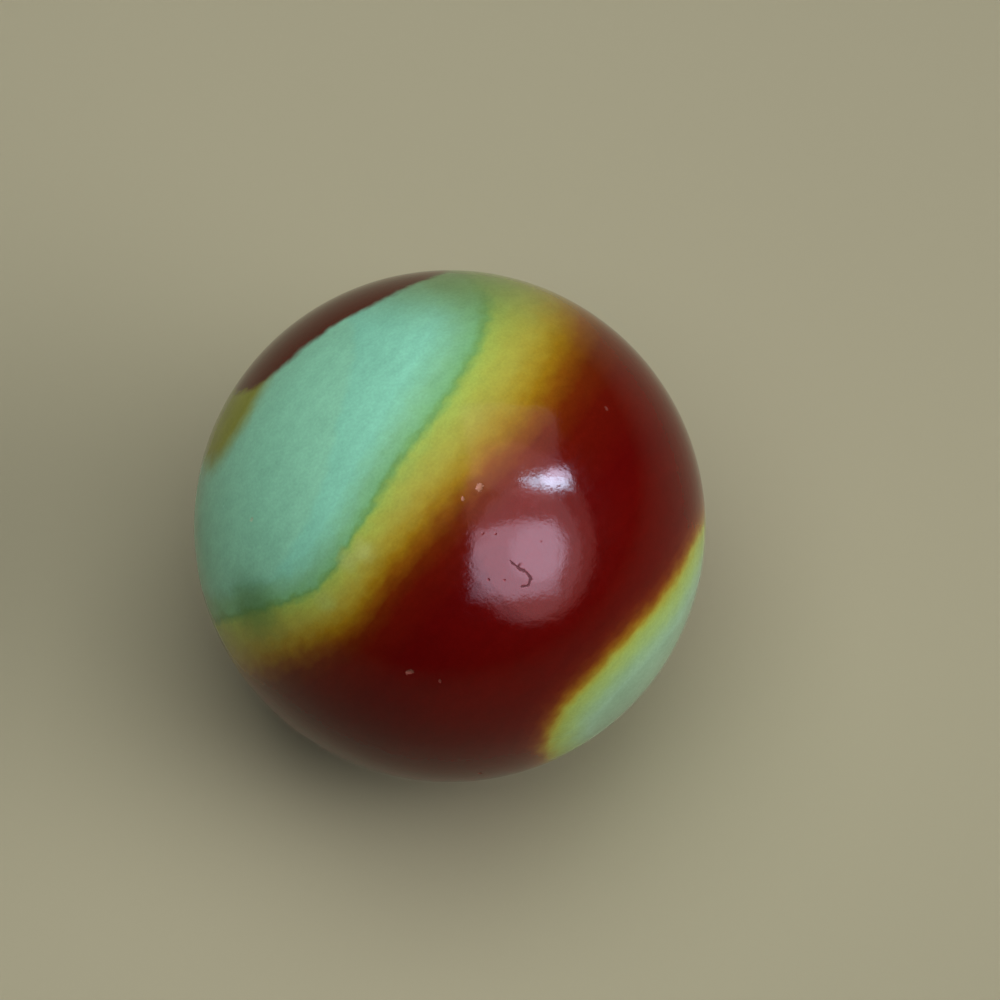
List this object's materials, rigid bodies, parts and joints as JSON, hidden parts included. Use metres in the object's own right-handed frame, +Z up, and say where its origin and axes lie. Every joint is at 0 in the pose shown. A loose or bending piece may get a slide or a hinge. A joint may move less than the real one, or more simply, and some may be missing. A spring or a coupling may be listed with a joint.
{
  "type": "glass marble",
  "caption": "Solid round playing marble of opaque swirled glass: a broad red ribbon with orange and yellow edges in pale mint green.",
  "frame": {"origin": "centre of the ball", "axes": "+Z up as the ball lies on a table, +X to the right of someone looking along +Y; the swirl's pole points right, towards that person and a little down"},
  "size_m": [0.016, 0.016, 0.016],
  "materials": {
    "swirl_glass": "opaque soda-lime glass, fire polished, with bands of red, orange, yellow and mint green"
  },
  "bodies": {
    "root": {"marble": "swirl_glass"}
  },
  "joints": []
}
